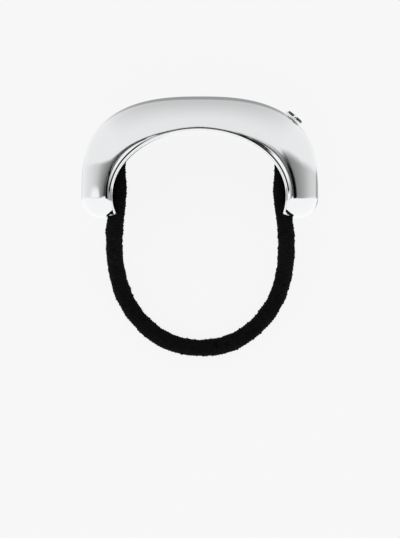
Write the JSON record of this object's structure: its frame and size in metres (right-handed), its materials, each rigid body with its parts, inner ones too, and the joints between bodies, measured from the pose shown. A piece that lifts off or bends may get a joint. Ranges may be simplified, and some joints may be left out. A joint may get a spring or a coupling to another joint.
{
  "type": "ponytail cuff",
  "caption": "Domed polished metal arch that covers the tie of a ponytail, closed under the hair by a loop of black knitted elastic.",
  "frame": {"origin": "on the surface that the cuff lies on, under the middle of the metal cuff's outline, the elastic not counted", "axes": "+Z along the ponytail, up as the cuff lies on its side; +Y towards the crown of the arch, away from the elastic loop; +X across the cuff, towards the leg with the badge above it"},
  "size_m": [0.0592, 0.065, 0.024],
  "materials": {
    "plated_metal": "mirror-polished silver-tone plating",
    "enamel": "glossy black enamel",
    "knitted_elastic": "matt black knitted cover over a rubber core"
  },
  "bodies": {
    "root": {"cuff_shell": "plated_metal", "keeper_pin": "plated_metal", "badge": "plated_metal", "badge_enamel": "enamel", "elastic_loop": "knitted_elastic"}
  },
  "joints": []
}
